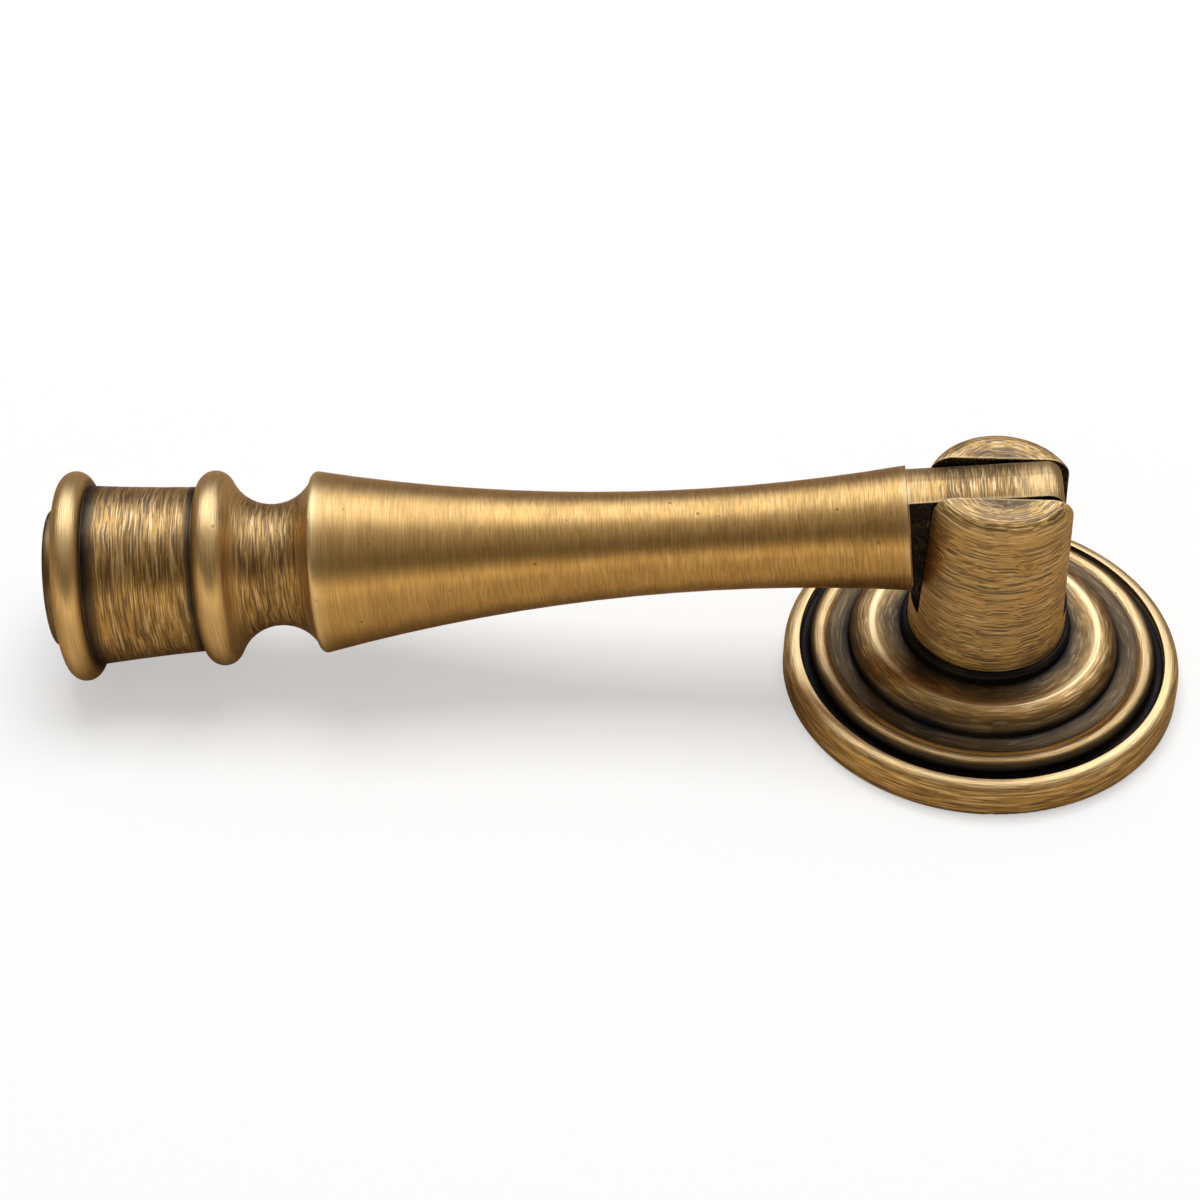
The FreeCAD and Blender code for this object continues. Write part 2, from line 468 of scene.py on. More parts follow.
class GroupBoard(NodeBoard):
    """A shader node group with named inputs and outputs."""

    def __init__(
        self, name: str, takes: Sequence[str], gives: Sequence[str], vectors: Sequence[str]
    ) -> None:
        """Makes the group and its sockets.

        Args:
            name: The group's name.
            takes: Names of its inputs.
            gives: Names of its outputs.
            vectors: Those sockets that are vectors or colours of three values.
        """
        super().__init__(bpy.data.node_groups.new(name, "ShaderNodeTree"))
        for names, way in ((takes, "INPUT"), (gives, "OUTPUT")):
            for socket in names:
                kind = "NodeSocketFloat"
                if socket in vectors:
                    kind = "NodeSocketColor" if socket == "Colour" else "NodeSocketVector"
                self.tree.interface.new_socket(name=socket, in_out=way, socket_type=kind)
        self.inside = self.add("NodeGroupInput").outputs
        self.results = self.add("NodeGroupOutput")

    def give(self, **results: Socket) -> bpy.types.NodeTree:
        """Wires the group's outputs by name and gives the finished group."""
        self.wire(self.results, results)
        return self.tree


def blank_material(name: str) -> Tuple[bpy.types.Material, NodeBoard]:
    """Makes a material without nodes.

    Args:
        name: The material's name.

    Returns:
        The material and its empty tree.
    """
    material = bpy.data.materials.new(name)
    material.use_nodes = True
    material.node_tree.nodes.clear()
    return material, NodeBoard(material.node_tree)


def place_mesh(
    name: str, mesh: bmesh.types.BMesh, material: bpy.types.Material
) -> bpy.types.Object:
    """Puts a finished shape into the scene.

    Args:
        name: The piece's name.
        mesh: Its shape, which is freed.
        material: What it is made of.

    Returns:
        The piece.
    """
    data = bpy.data.meshes.new(name)
    mesh.to_mesh(data)
    mesh.free()
    piece = bpy.data.objects.new(name, data)
    bpy.context.scene.collection.objects.link(piece)
    data.materials.append(material)
    return piece


@dataclass
class BrassShop:
    """Builds the node groups that all the brass shares.

    Attributes:
        tones: Colours of the brass.
        pattern: Shapes of the brush marks.
        weathering: How the ageing acts on the brass.
        lacquer: The clear coat.
    """

    MARKS = ("Lines", "Cuts", "Ridges", "Pits", "Cloud")
    MIDDLE = 0.5

    tones: BrassTones = BrassTones()
    pattern: BrushPattern = BrushPattern()
    weathering: Weathering = Weathering()
    lacquer: Lacquer = Lacquer()

    def __post_init__(self) -> None:
        """Builds the groups."""
        self.place_group = self.turned_place()
        self.normal_group = self.turned_normal()
        self.brush_group = self.brush_marks()
        self.age_group = self.aged_brass()

    @staticmethod
    def turned_place() -> bpy.types.NodeTree:
        """Builds the group that measures a place round, out from and along a turning axis.

        Returns:
            The group.
        """
        gives = ("Around", "Radius", "Along")
        board = GroupBoard("turned_place", ("Place",), gives, ("Place", "Around"))
        x, y, z = board.separate(board.inside["Place"])
        flat = board.combine(x, y, 0.0)
        around, radius = board.vector("NORMALIZE", flat), board.vector("LENGTH", flat)
        return board.give(Around=around, Radius=radius, Along=z)

    @staticmethod
    def turned_normal() -> bpy.types.NodeTree:
        """Builds the group that turns a normal into the plane of the turning axis.

        A mesh's normals break along the seam of its turned faces, and this closes the break.

        Returns:
            The group.
        """
        takes = ("Normal", "Spot", "Axis", "Share")
        board = GroupBoard("turned_normal", takes, ("Normal",), ("Normal", "Spot", "Axis"))
        inside = board.inside
        across = board.vector("CROSS_PRODUCT", inside["Axis"], inside["Spot"])
        around = board.vector("NORMALIZE", across)
        lean = board.vector("DOT_PRODUCT", inside["Normal"], around)
        excess = board.vector("MULTIPLY", around, board.times(lean, inside["Share"]))
        upright = board.vector("SUBTRACT", inside["Normal"], excess)
        world = board.add(
            "ShaderNodeVectorTransform",
            vector_type="NORMAL",
            convert_from="OBJECT",
            convert_to="WORLD",
        )
        board.fill(world, board.vector("NORMALIZE", upright))
        return board.give(Normal=world.outputs[0])

    def brush_marks(self) -> bpy.types.NodeTree:
        """Builds the group of brush lines, cuts, ridges, pits and stains round the axis.

        Returns:
            The group.
        """
        takes = ("Around", "Radius", "Along", "Turns", "Fineness", "Waver", "Seed")
        board = GroupBoard("brush_marks", takes, self.MARKS, ("Around",))
        inside, pattern = board.inside, self.pattern
        radius, seed, turns = inside["Radius"], inside["Seed"], inside["Turns"]
        cos, sin, _ = board.separate(inside["Around"])
        both = board.math("ADD", inside["Along"], radius)
        slow = []
        for layer in (pattern.sway, pattern.cloud):
            place = board.combine(
                board.times(cos, layer.turns),
                board.times(sin, layer.turns),
                board.plus(seed, both, layer.rate),
            )
            slow.append(board.noise(place, layer.detail))
        sway, cloud = slow
        drift = board.times(board.math("SUBTRACT", sway, self.MIDDLE), inside["Waver"])
        along, out = (
            board.times(board.math("ADD", measure, drift), inside["Fineness"])
            for measure in (inside["Along"], radius)
        )
        strokes = []
        for layer in (pattern.lines, pattern.grain):
            shift = pattern.shift * layer.rate
            place = board.combine(
                board.plus(shift, board.times(cos, layer.turns), turns),
                board.times(board.times(sin, layer.turns), turns),
                board.times(along, layer.rate),
            )
            depth = board.plus(seed, out, layer.rate)
            strokes.append(board.noise(place, layer.detail, depth, pattern.roughness))
        lines, grain = strokes
        spot = board.combine(board.times(cos, radius), board.times(sin, radius), inside["Along"])
        cells = board.add("ShaderNodeTexVoronoi")
        board.wire(cells, {"Vector": spot, "Scale": pattern.pit_scale})
        chance, _, _ = board.separate(cells.outputs["Color"])
        pits = board.times(
            board.step(cells.outputs["Distance"], *pattern.pits),
            board.step(chance, *pattern.pit_choice),
        )
        return board.give(
            Lines=lines,
            Cuts=board.step(grain, *pattern.cuts),
            Ridges=board.step(grain, *pattern.ridges),
            Pits=pits,
            Cloud=cloud,
        )

    def aged_brass(self) -> bpy.types.NodeTree:
        """Builds the group that turns ageing and brush marks into colour, gloss and relief.

        Returns:
            The group.
        """
        takes = ("Patina", "Wear", "Marks", *self.MARKS, "Gloss")
        gives = ("Colour", "Roughness", "Metallic", "Coat", "Relief")
        board = GroupBoard("aged_brass", takes, gives, ("Colour",))
        inside, tones, rates = board.inside, self.tones, self.weathering
        marks, lines = inside["Marks"], inside["Lines"]
        depth = board.plus(rates.plain_depth, marks, rates.marked_depth)
        light = board.plus(1.0, inside["Patina"], -rates.patina_hides)
        streak = board.math("SUBTRACT", lines, self.MIDDLE)
        streak = board.times(streak, board.times(depth, light))
        cloud = board.times(board.math("SUBTRACT", inside["Cloud"], self.MIDDLE), depth)
        patina = board.math(
            "ADD",
            board.plus(inside["Patina"], streak, -rates.streak_cleans),
            board.times(cloud, rates.cloud_stains),
            clamp=True,
        )
        stops = (
            (0.0, tones.clean),
            (rates.brown_at, tones.brown),
            (rates.umber_at, tones.umber),
            (1.0, tones.black),
        )
        tone = board.ramp(patina, stops)
        bare = board.rest(board.times(patina, rates.patina_covers))
        pits = board.times(inside["Pits"], rates.pit_strength)
        cut = board.math("MAXIMUM", board.times(inside["Cuts"], marks), pits)
        cut = board.times(cut, bare)
        ridge = board.times(board.times(inside["Ridges"], marks), bare)
        tone = board.mix(board.times(cut, rates.cut_cover), tone, tones.cut)
        tone = board.mix(board.times(ridge, rates.ridge_cover), tone, tones.worn)
        rub = board.plus(rates.wear_level, streak, rates.streak_rubs)
        rub = board.plus(rub, cloud, rates.cloud_rubs)
        wear_and_highlight = board.math("MULTIPLY", inside["Wear"], rub, clamp=True)
        rough = board.plus(inside["Gloss"], patina, rates.patina_dulls)
        rough = board.plus(rough, wear_and_highlight, rates.wear_dulls)
        relief = board.plus(board.times(lines, rates.line_height), ridge, rates.ridge_height)
        return board.give(
            Colour=board.mix(wear_and_highlight, tone, tones.worn),
            Roughness=board.plus(rough, streak, rates.streak_dulls),
            Metallic=board.plus(1.0, patina, -rates.patina_insulates),
            Coat=board.plus(self.lacquer.weight, patina, -self.lacquer.weight),
            Relief=board.plus(relief, cut, -rates.cut_depth),
        )


@dataclass
class BrassPiece:
    """One turned brass piece of the pull, and how it has aged.

    Attributes:
        node: The CAD node's name.
        slot: The record's material slot.
        across: The measure that the stations follow.
        brushing: How it was brushed.
        stations: Its ageing along the profile.
    """

    node: str
    slot: Slot
    across: Across
    brushing: Brushing
    stations: Tuple[Station, ...]

    def mapping(self) -> Tuple[Triple, Triple]:
        """Gives the shift, in mm, and the turn that bring the turning axis onto Z."""
        return (0.0, 0.0, 0.0), (0.0, 0.0, 0.0)

    def axis(self) -> Tuple[Vector, Vector]:
        """Gives a point on the turning axis, in mm, and the axis's direction."""
        return Vector((0.0, 0.0, 0.0)), Vector((0.0, 0.0, 1.0))

    def turned(self, board: NodeBoard, along: Socket) -> Optional[Feed]:
        """Gives the share of a face that is turned about the axis; none, if it isn't told."""
        return None

    def place(self, board: NodeBoard) -> Socket:
        """Finds the place on the piece, in mm, with the turning axis along Z.

        Args:
            board: The material's nodes.

        Returns:
            The place.
        """
        shift, turn = self.mapping()
        feeds = {
            "Vector": board.add("ShaderNodeTexCoord").outputs["Object"],
            "Location": shift,
            "Rotation": turn,
            "Scale": (1 / MM, 1 / MM, 1 / MM),
        }
        return board.wire(board.add("ShaderNodeMapping"), feeds).outputs[0]

    def normal(self, board: NodeBoard, shop: BrassShop, share: Feed) -> Socket:
        """Finds the normal that the turning gave the faces.

        Args:
            board: The material's nodes.
            shop: Where the shared groups are.
            share: Share of a face that is turned.

        Returns:
            The normal.
        """
        point, direction = self.axis()
        here = board.add("ShaderNodeTexCoord").outputs
        spot = board.vector("SUBTRACT", here["Object"], point * MM)
        group = board.group(
            shop.normal_group, Normal=here["Normal"], Spot=spot, Axis=direction, Share=share
        )
        return group["Normal"]

    def local_age(self, board: NodeBoard, place: Socket, patina: Socket, wear_and_highlight: Socket) -> Ageing:
        """Adds the ageing of faces that aren't turned; a plain turned piece has none."""
        return patina, wear_and_highlight

    def finish(self, shop: BrassShop) -> bpy.types.Material:
        """Makes the piece's own aged brass.

        Args:
            shop: Where the shared groups are.

        Returns:
            The material.
        """
        material, board = blank_material(self.slot.value + "_aged")
        style, lacquer = self.brushing, shop.lacquer
        place = self.place(board)
        turned = board.group(shop.place_group, Place=place)
        brush = board.group(
            shop.brush_group,
            **{name: turned[name] for name in ("Around", "Radius", "Along")},
            Turns=style.turns,
            Fineness=style.fineness,
            Waver=style.waver,
            Seed=style.seed,
        )
        patina, wear_and_highlight, marks = board.profile(turned[self.across.value], self.stations)
        patina, wear_and_highlight = self.local_age(board, place, patina, wear_and_highlight)
        age = board.group(
            shop.age_group,
            **{name: brush[name] for name in shop.MARKS},
            Patina=patina,
            Wear=wear_and_highlight,
            Marks=marks,
            Gloss=style.roughness,
        )
        bump = board.add("ShaderNodeBump")
        feeds = {"Strength": 1.0, "Distance": style.depth * MM, "Height": age["Relief"]}
        board.wire(bump, feeds)
        share = self.turned(board, turned["Along"])
        if share is not None:
            board.feed(bump.inputs["Normal"], self.normal(board, shop, share))
        shader = board.add("ShaderNodeBsdfPrincipled")
        feeds = {
            "Base Color": age["Colour"],
            "Roughness": age["Roughness"],
            "Metallic": age["Metallic"],
            "Normal": bump.outputs["Normal"],
            "Coat Weight": age["Coat"],
            "Coat IOR": lacquer.ior,
            "Coat Roughness": lacquer.roughness,
            "Specular Tint": (*lacquer.edge_tint, 1.0),
        }
        board.wire(shader, feeds)
        board.wire(board.add("ShaderNodeOutputMaterial"), {"Surface": shader.outputs[0]})
        return material

    def dress(self, shop: BrassShop) -> bpy.types.Object:
        """Gives the CAD node its material.

        Args:
            shop: Where the shared groups are.

        Returns:
            The node's object.
        """
        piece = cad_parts[self.node]
        piece.material_slots[0].material = self.finish(shop)
        return piece


@dataclass
class Rose(BrassPiece):
    """The turned rose; its hollow back has an even, dull patina.

    Attributes:
        recess_radius: Radius of the hollow, in mm.
        recess_depth: Height of the hollow's roof, in mm.
        back_patina: Patina of the back.
        wall: Margins of the hollow beyond its radius, in mm.
        roof: Margins of the hollow above its roof, in mm.
        foot: Heights where the back face ends, in mm.
    """

    recess_radius: float = 11.5
    recess_depth: float = 1.8
    back_patina: float = 0.45
    wall: Margins = (0.4, 0.1)
    roof: Margins = (0.3, 0.1)
    foot: Margins = (0.12, 0.02)

    def turned(self, board: NodeBoard, along: Socket) -> Feed:
        """Gives the share of a face that is turned: all of it."""
        return 1.0

    def local_age(self, board: NodeBoard, place: Socket, patina: Socket, wear_and_highlight: Socket) -> Ageing:
        """Keeps the front's rings of patina and wear off the back.

        Args:
            board: The material's nodes.
            place: The place, in mm.
            patina: Patina of the turned profile.
            wear_and_highlight: Bright rubbing of the turned profile, with the painted highlights
                of its rings.

        Returns:
            Patina and wear.
        """
        x, y, z = board.separate(place)
        hollow = board.times(
            board.step(board.reach(x, y), *offset(self.recess_radius, self.wall)),
            board.step(z, *offset(self.recess_depth, self.roof)),
        )
        back = board.math("MAXIMUM", hollow, board.step(z, *self.foot))
        front = board.rest(back)
        patina = board.plus(board.times(patina, front), back, self.back_patina)
        return patina, board.times(wear_and_highlight, front)


@dataclass
class Post(BrassPiece):
    """The slotted post; its slot is worn along its edges and black inside: painted shade of the
    gap round the tongue, over dark patina.

    Attributes:
        slot_half: Half the slot's width, in mm.
        slot_floor: Height of the slot's floor, in mm.
        crown_height: Height of the rounded crown, in mm.
        floor_rise: Margins of the slot at its floor, in mm.
        shaded_slot_wall: Margins of the slot's walls, which are painted black as shade, in mm.
        edge_rise: Where the worn edge starts beyond a wall, in mm.
        edge_fall: Where it ends, in mm.
        edge_wear: Wear of the edge.
        crown_rise: Margins of the crown below its height, in mm.
        crown_middle: Radii where the crown's dull middle ends, in mm.
        crown_patina: Patina of that middle.
    """

    slot_half: float = 2.25
    slot_floor: float = 8.84
    crown_height: float = 21.344
    floor_rise: Margins = (-0.1, -0.02)
    shaded_slot_wall: Margins = (0.1, 0.02)
    edge_rise: Margins = (0.04, 0.13)
    edge_fall: Margins = (0.32, 0.2)
    edge_wear: float = 0.4
    crown_rise: Margins = (-0.9, -0.1)
    crown_middle: Margins = (4.6, 2.9)
    crown_patina: float = 0.62

    def local_age(self, board: NodeBoard, place: Socket, patina: Socket, wear_and_highlight: Socket) -> Ageing:
        """Paints the slot's walls black as shade over dark patina, brightens its edges and dulls
        the crown's middle.

        Args:
            board: The material's nodes.
            place: The place, in mm.
            patina: Patina of the turned profile.
            wear_and_highlight: Wear of the turned profile.

        Returns:
            Patina and wear.
        """
        x, y, z = board.separate(place)
        side = board.math("ABSOLUTE", y)
        above = board.step(z, *offset(self.slot_floor, self.floor_rise))
        inside = board.times(above, board.step(side, *offset(self.slot_half, self.shaded_slot_wall)))
        edge = board.times(
            board.step(side, *offset(self.slot_half, self.edge_rise)),
            board.step(side, *offset(self.slot_half, self.edge_fall)),
        )
        edge = board.times(edge, above)
        top = board.step(z, *offset(self.crown_height, self.crown_rise))
        middle = board.times(top, board.step(board.reach(x, y), *self.crown_middle))
        patina = board.math("MAXIMUM", patina, board.times(middle, self.crown_patina))
        # The slot's walls turn full black through the patina: painted shade of the gap round the
        # tongue.
        patina = board.math("MAXIMUM", patina, inside)
        wear_and_highlight = board.math("MAXIMUM", wear_and_highlight, board.times(edge, self.edge_wear))
        return patina, board.times(wear_and_highlight, board.rest(inside))


@dataclass
class FixingThread:
    """The thread in the post's tapped hole, for the screw that fixes the pull from behind.

    Attributes:
        pitch: Rise of one turn, in mm.
        root: Radius where it joins the hole's wall, in mm.
        crest: Radius of its crest, in mm.
        crest_half: Half the width of its crest, in mm.
        flank_share: Half the width of its root, against the pitch.
        start: Height of its first turn, in mm.
        turns: Number of turns.
        steps: Steps of one turn.
        merge: Distance under which vertices are one, in m.
    """

    pitch: float = 0.7
    root: float = 1.68
    crest: float = 1.46
    crest_half: float = 0.06
    flank_share: float = 0.36
    start: float = 0.5
    turns: int = 7
    steps: int = 48
    merge: float = 1e-7

    def build(self, material: bpy.types.Material) -> bpy.types.Object:
        """Winds a ridge up the hole's wall.

        Args:
            material: The post's brass.

        Returns:
            The thread.
        """
        mesh = bmesh.new()
        flank = self.flank_share * self.pitch
        rim = [
            mesh.verts.new((radius * MM, 0, (self.start + rise) * MM))
            for radius, rise in (
                (self.root, -flank),
                (self.crest, -self.crest_half),
                (self.crest, self.crest_half),
                (self.root, flank),
            )
        ]
        section = mesh.faces.new(rim)
        bmesh.ops.spin(
            mesh,
            geom=[section, *section.edges, *section.verts],
            cent=(0, 0, 0),
            axis=(0, 0, 1),
            dvec=(0, 0, self.pitch * MM / self.steps),
            angle=math.tau * self.turns,
            steps=self.steps * self.turns,
        )
        bmesh.ops.remove_doubles(mesh, verts=mesh.verts, dist=self.merge)
        bmesh.ops.recalc_face_normals(mesh, faces=mesh.faces)
        thread = place_mesh("fixing_thread", mesh, material)
        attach(thread, Body.BASE.value)
        return thread


@dataclass
class Handle(BrassPiece):
    """The turned handle, lying at a pitch from the pivot, with a flat-sided tongue.

    Attributes:
        pivot_height: Height of the pivot, in mm.
        pitch_deg: How far the handle slopes down as it lies, in degrees.
        tongue_half: Half the tongue's thickness, in mm.
        tongue_end: Where the tongue meets the shoulder, in mm from the pivot.
        shoulder: Margins of the turned faces beyond the tongue, in mm.
        tongue_fall: Margins of the tongue at its end, in mm.
        shaded_flat_rise: Margins of the tongue's flats, which are painted black as shade, in mm.
        edge_rise: Margins of the flats' worn edges, in mm.
        edge_wear: Wear of those edges.
    """

    pivot_height: float = 16.64391
    pitch_deg: float = 6.5442
    tongue_half: float = 2.05
    tongue_end: float = 6.9
    shoulder: Margins = (0.05, 0.12)
    tongue_fall: Margins = (0.02, -0.05)
    shaded_flat_rise: Margins = (-0.07, -0.02)
    edge_rise: Margins = (-0.32, -0.12)
    edge_wear: float = 0.3

    def mapping(self) -> Tuple[Triple, Triple]:
        """Gives the shift, in mm, and the turn that bring the handle's axis onto Z."""
        turn, drop = math.radians(90 + self.pitch_deg), -self.pivot_height
        return (drop * math.sin(turn), 0.0, drop * math.cos(turn)), (0.0, turn, 0.0)

    def axis(self) -> Tuple[Vector, Vector]:
        """Gives the pivot, in mm, and the direction that the handle lies in."""
        pitch = math.radians(self.pitch_deg)
        direction = Vector((-math.cos(pitch), 0.0, -math.sin(pitch)))
        return Vector((0.0, 0.0, self.pivot_height)), direction

    def turned(self, board: NodeBoard, along: Socket) -> Feed:
        """Gives the share of a face that is turned: all but the tongue."""
        return board.step(along, *offset(self.tongue_end, self.shoulder))

    def local_age(self, board: NodeBoard, place: Socket, patina: Socket, wear_and_highlight: Socket) -> Ageing:
        """Paints the tongue's flats black as shade over dark patina and brightens their edges.

        Args:
            board: The material's nodes.
            place: The place, in mm.
            patina: Patina of the turned profile.
            wear_and_highlight: Wear of the turned profile.

        Returns:
            Patina and wear.
        """
        _, y, along = board.separate(place)
        side = board.math("ABSOLUTE", y)
        tongue = board.step(along, *offset(self.tongue_end, self.tongue_fall))
        flat, edge = (
            board.times(tongue, board.step(side, *offset(self.tongue_half, margins)))
            for margins in (self.shaded_flat_rise, self.edge_rise)
        )
        # The tongue's flats turn full black through the patina: painted shade of the slot's gap.
        patina = board.math("MAXIMUM", patina, flat)
        wear_and_highlight = board.math("MAXIMUM", wear_and_highlight, board.times(edge, self.edge_wear))
        return patina, board.times(wear_and_highlight, board.rest(flat))


@dataclass(frozen=True)
class Softbox:
    """One soft lamp round the pull.

    Attributes:
        name: The lamp's name.
        heading: Its side of the pull, in degrees: 0 is the camera's side, 90 the right.
        height: Its height above the floor, in degrees.
        distance: Its distance from the pull, in m.
        width: Its width, in m.
        depth: Its height or depth, in m.
        power: Its power, in W.
        tint: Its colour.
        task: What it is there for.
    """

    name: str
    heading: float
    height: float
    distance: float
    width: float
    depth: float
    power: float
    tint: Colour
    task: Task

    def build(self, target: Vector) -> bpy.types.Object:
        """Hangs the lamp, facing the pull.

        Args:
            target: The point that it faces.

        Returns:
            The lamp.
        """
        turn, rise = math.radians(self.heading), math.radians(self.height)
        level = math.cos(rise)
        away = Vector((math.sin(turn) * level, -math.cos(turn) * level, math.sin(rise)))
        data = bpy.data.lights.new(self.name, "AREA")
        data.shape = "RECTANGLE"
        data.size, data.size_y = self.width, self.depth
        data.energy = self.power
        data.color = self.tint
        lamp = bpy.data.objects.new(self.name, data)
        lamp.location = target + away * self.distance
        lamp.visible_diffuse = self.task is Task.FILL
        lamp.visible_glossy = self.task is Task.SHINE
        lamp.rotation_mode = "QUATERNION"
        lamp.rotation_quaternion = away.to_track_quat("Z", "Y")
        bpy.context.scene.collection.objects.link(lamp)
        return lamp


@dataclass(frozen=True)
class FloorPaint:
    """The floor's matt white, which stays white to the camera and keeps the shadow.

    Attributes:
        matt: Its colour.
        in_brass: Its colour as the brass mirrors it.
        glow: Its own light to the camera.
        near_glow: Share of that light near the pull.
        far_glow: What is added to that share far away.
        fade: Distances between which it is added, in m.
    """

    matt: Colour = (0.9, 0.9, 0.9)
    in_brass: Colour = (0.68, 0.65, 0.6)
    glow: float = 0.985
    near_glow: float = 0.48
    far_glow: float = 0.52
    fade: Margins = (0.08, 0.3)

    def mix(self) -> bpy.types.Material:
        """Makes the material; it is clear from below.

        Returns:
            The material.
        """
        material, board = blank_material("floor_white")
        path = board.add("ShaderNodeLightPath").outputs
        colour = board.mix(path["Is Glossy Ray"], self.matt, self.in_brass)
        matt = board.wire(board.add("ShaderNodeBsdfDiffuse"), {"Color": colour})
        white = board.wire(board.add("ShaderNodeEmission"), {"Strength": self.glow})
        seen = board.math("MAXIMUM", path["Is Camera Ray"], path["Is Transmission Ray"])
        place = board.add("ShaderNodeTexCoord").outputs["Object"]
        far = board.step(board.vector("LENGTH", place), *self.fade)
        share = board.times(seen, board.plus(self.near_glow, far, self.far_glow))
        lit = board.mix_shaders(share, matt.outputs[0], white.outputs[0])
        behind = board.add("ShaderNodeNewGeometry").outputs["Backfacing"]
        clear = board.add("ShaderNodeBsdfTransparent").outputs[0]
        surface = board.mix_shaders(behind, lit, clear)
        board.wire(board.add("ShaderNodeOutputMaterial"), {"Surface": surface})
        return material


@dataclass(frozen=True)
class RoomLight:
    """The room's light: dim behind and above the camera, bright low in front of the pull.

    Attributes:
        back: Colour low behind the pull.
        overhead: Colour overhead.
        front: Colour on the camera's side.
        glow: Colour low down on the camera's side.
        rise: Heights where back turns into overhead, as sines.
        front_rise: Where the camera's side starts and is full, along Y.
        front_fall: Heights where the camera's side ends, as sines.
        glow_fall: Heights where the glow ends, as sines.
    """

    back: Colour = (0.14, 0.13, 0.115)
    overhead: Colour = (0.55, 0.55, 0.55)
    front: Colour = (0.09, 0.08, 0.065)
    glow: Colour = (2.4, 2.4, 2.4)
    rise: Margins = (0.1, 0.95)
    front_rise: Margins = (0.0, -0.5)
    front_fall: Margins = (0.98, 0.6)
    glow_fall: Margins = (0.34, 0.05)

    def hang(self) -> None:
        """Sets the scene's world."""
        world = bpy.data.worlds.new("room")
        bpy.context.scene.world = world
        world.use_nodes = True
        world.node_tree.nodes.clear()
        board = NodeBoard(world.node_tree)
        _, y, z = board.separate(board.add("ShaderNodeTexCoord").outputs["Generated"])
        front = board.step(y, *self.front_rise)
        colour = board.mix(board.step(z, *self.rise), self.back, self.overhead)
        for fall, tint in ((self.front_fall, self.front), (self.glow_fall, self.glow)):
            colour = board.mix(board.times(front, board.step(z, *fall)), colour, tint)
        light = board.wire(board.add("ShaderNodeBackground"), {"Color": colour})
        board.wire(board.add("ShaderNodeOutputWorld"), {"Surface": light.outputs[0]})


@dataclass
class Studio:
    """The pale floor, the soft light and the camera.

    Attributes:
        floor_radius: Radius of the floor, in m.
        floor_sides: Number of its sides.
        floor_drop: How far it lies under the rose, in mm.
        opening: Radius of its opening under the rose, in m.
        sensor: Width of the camera's sensor, in mm.
        lens: Focal length on that sensor, in mm.
        clip: Nearest and furthest that the camera sees, in m.
        spot: The camera's place, in mm.
        fall: How far the camera looks down, in degrees.
        roll: How far it leans, in degrees.
        heading: How far it is turned about the vertical, in degrees.
        middle: The point that the lamps face, in m.
        paint: The floor's paint.
        room: The room's light.
        lamps: The soft lamps.
    """

    floor_radius: float = 3.0
    floor_sides: int = 96
    floor_drop: float = 0.02
    opening: float = 0.0157
    sensor: float = 36.0
    lens: float = 126.0
    clip: Margins = (0.01, 20.0)
    spot: Triple = (-35.45, -242.932, 240.18)
    fall: float = 43.8073
    roll: float = 2.1599
    heading: float = -1.0378
    middle: Triple = (-0.03, 0.0, 0.01)
    paint: FloorPaint = FloorPaint()
    room: RoomLight = RoomLight()
    lamps: Tuple[Softbox, ...] = (
        Softbox("back_softbox", 180.0, 58.0, 0.8, 1.6, 0.68, 8.2, (0.95, 1.19, 1.85), Task.SHINE),
        Softbox("top_softbox", 180.0, 75.0, 0.8, 0.6, 0.5, 5.6, (1.0, 1.0, 1.0), Task.FILL),
    )

    def lay_floor(self) -> bpy.types.Object:
        """Lays a round pale floor, open under the rose so that light reaches the rose's back.

        Returns:
            The floor.
        """
        mesh = bmesh.new()
        ends = [mesh.verts.new((reach, 0, 0)) for reach in (self.opening, self.floor_radius)]
        edge = mesh.edges.new(ends)
        bmesh.ops.spin(
            mesh,
            geom=[edge, *ends],
            cent=(0, 0, 0),
            axis=(0, 0, 1),
            angle=math.tau,
            steps=self.floor_sides,
            use_merge=True,
        )
        bmesh.ops.recalc_face_normals(mesh, faces=mesh.faces)
        mesh.normal_update()
        if next(iter(mesh.faces)).normal.z < 0:
            bmesh.ops.reverse_faces(mesh, faces=mesh.faces)
        floor = place_mesh("floor", mesh, self.paint.mix())
        floor.location.z = -self.floor_drop * MM
        return floor

    def set_camera(self) -> bpy.types.Object:
        """Sets the camera where the photograph was taken from.

        Returns:
            The camera.
        """
        data = bpy.data.cameras.new("camera")
        data.sensor_width = self.sensor
        data.lens = self.lens
        data.clip_start, data.clip_end = self.clip
        camera = bpy.data.objects.new("camera", data)
        turn = Matrix.Rotation(math.radians(self.heading), 4, "Z")
        look = Matrix.Rotation(math.radians(90 - self.fall), 4, "X")
        lean = Matrix.Rotation(math.radians(self.roll), 4, "Z")
        camera.matrix_world = Matrix.Translation(Vector(self.spot) * MM) @ turn @ look @ lean
        bpy.context.scene.collection.objects.link(camera)
        bpy.context.scene.camera = camera
        return camera

    def build(self) -> None:
        """Builds the floor, the lamps, the room's light and the camera."""
        bpy.context.scene.view_settings.view_transform = "Standard"
        self.lay_floor()
        for lamp in self.lamps:
            lamp.build(Vector(self.middle))
        self.room.hang()
        self.set_camera()


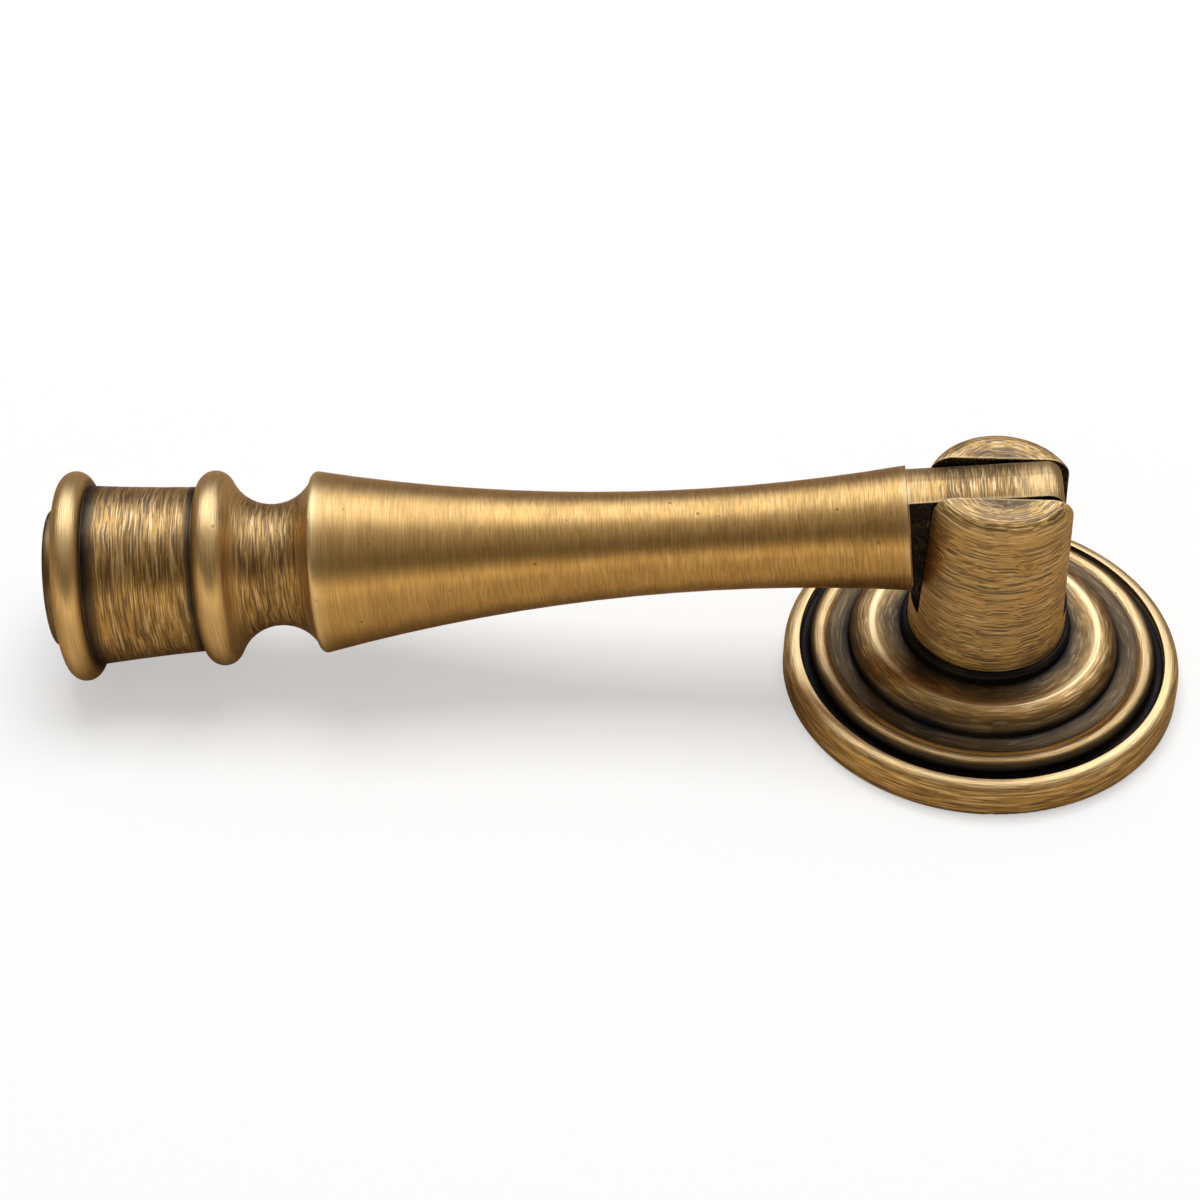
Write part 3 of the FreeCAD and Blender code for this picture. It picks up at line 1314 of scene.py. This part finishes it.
ROSE = Rose(
    node="rose",
    slot=Slot.ROSE,
    across=Across.RADIUS,
    brushing=Brushing(turns=6.5, fineness=12.0, waver=0.3, seed=3.0, depth=0.028, roughness=0.35),
    # The bright rings at the dish's crest (8.98 to 9.22 mm), the bead ring (12.72 mm) and the
    # rim's top (14.8 to 15.45 mm) are rubbed brass and also painted highlights on those edges.
    stations=aged(
        (6.2, 1.0, 0.0, 0.0), (6.86, 1.0, 0.0, 0.0), (7.1, 0.88, 0.0, 0.2),
        (7.6, 0.68, 0.0, 0.4), (8.2, 0.58, 0.0, 0.5), (8.75, 0.4, 0.1, 0.5),
        (8.98, 0.05, 0.7, 0.3), (9.22, 0.05, 0.7, 0.3), (9.4, 0.34, 0.1, 0.5),
        (9.7, 0.38, 0.0, 0.7), (10.15, 0.4, 0.0, 0.8), (10.5, 0.62, 0.0, 0.5),
        (10.75, 0.78, 0.0, 0.3), (10.9, 1.0, 0.0, 0.1), (11.02, 1.0, 0.0, 0.1),
        (11.2, 0.88, 0.0, 0.2), (11.7, 0.75, 0.0, 0.3), (12.2, 0.7, 0.0, 0.3),
        (12.47, 0.9, 0.0, 0.1), (12.56, 0.4, 0.3, 0.3), (12.72, 0.05, 0.7, 0.5),
        (13.05, 0.15, 0.3, 0.5), (13.45, 0.4, 0.1, 0.5), (13.8, 0.8, 0.0, 0.2),
        (13.95, 1.0, 0.0, 0.0), (14.72, 1.0, 0.0, 0.0), (14.8, 0.2, 0.4, 0.2),
        (15.0, 0.05, 0.4, 0.3), (15.45, 0.05, 0.4, 0.5), (15.8, 0.2, 0.1, 0.8),
        (16.0, 0.22, 0.0, 0.9),
    ),
)

POST = Post(
    node="post",
    slot=Slot.POST,
    across=Across.ALONG,
    brushing=Brushing(turns=1.4, fineness=14.0, waver=0.8, seed=41.0, depth=0.05, roughness=0.41),
    stations=aged(
        (0.0, 0.7, 0.0, 0.3), (5.2, 0.8, 0.0, 0.2), (5.9, 0.55, 0.0, 0.6),
        (6.5, 0.15, 0.0, 0.9), (7.4, 0.0, 0.22, 1.0), (12.0, 0.0, 0.2, 1.0),
        (17.0, 0.05, 0.08, 1.0), (19.4, 0.1, 0.1, 0.8), (20.2, 0.08, 0.15, 0.7),
        (21.0, 0.15, 0.05, 0.9),
    ),
)

HINGE_PIN = BrassPiece(
    node="hinge_pin",
    slot=Slot.PIN,
    across=Across.RADIUS,
    brushing=Brushing(turns=3.0, fineness=9.0, waver=0.3, seed=77.0, depth=0.02, roughness=0.4),
    stations=aged((0.0, 0.4, 0.0, 0.4), (30.0, 0.6, 0.0, 0.4)),
)

HANDLE = Handle(
    node="handle",
    slot=Slot.HANDLE,
    across=Across.ALONG,
    brushing=Brushing(turns=2.6, fineness=14.0, waver=0.3, seed=9.0, depth=0.04, roughness=0.37),
    stations=aged(
        (-5.2, 0.3, 0.2, 0.5), (-3.0, 0.15, 0.2, 0.7), (-1.0, 0.4, 0.0, 0.9),
        (1.0, 0.36, 0.0, 1.0), (3.6, 0.5, 0.0, 0.9), (4.6, 0.2, 0.0, 0.6),
        (6.6, 0.12, 0.1, 0.4), (6.92, 0.5, 0.1, 0.2), (7.05, 0.15, 0.4, 0.2),
        (7.6, 0.12, 0.0, 0.32), (40.0, 0.1, 0.0, 0.22), (51.8, 0.1, 0.05, 0.22),
        (53.0, 0.08, 0.15, 0.2), (53.5, 0.0, 0.6, 0.1), (53.95, 0.25, 0.4, 0.3),
        (55.0, 0.24, 0.0, 0.8), (57.2, 0.32, 0.0, 1.0), (59.5, 0.22, 0.0, 0.8),
        (59.95, 0.08, 0.15, 0.3), (61.73, 0.02, 0.35, 0.25), (62.95, 0.15, 0.1, 0.2),
        (63.05, 1.0, 0.0, 0.0), (63.3, 0.9, 0.0, 0.0), (63.9, 0.3, 0.0, 0.9),
        (66.9, 0.2, 0.0, 1.0), (70.4, 0.3, 0.0, 0.9), (71.0, 0.72, 0.0, 0.2),
        (71.72, 1.0, 0.0, 0.0), (71.82, 0.12, 0.2, 0.2), (72.92, 0.02, 0.35, 0.25),
        (73.95, 0.3, 0.1, 0.2), (75.1, 0.75, 0.0, 0.3),
    ),
)


def main() -> None:
    """Dresses the pieces, adds the thread and builds the studio."""
    logging.basicConfig(level=logging.INFO, format="%(name)s: %(message)s")
    shop = BrassShop()
    for piece in (ROSE, POST, HINGE_PIN, HANDLE):
        LOG.info("dressed %s", piece.dress(shop).name)
    post_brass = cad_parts[POST.node].material_slots[0].material
    LOG.info("built %s", FixingThread().build(post_brass).name)
    Studio().build()
    LOG.info("built the studio")


if __name__ == "__main__":
    main()
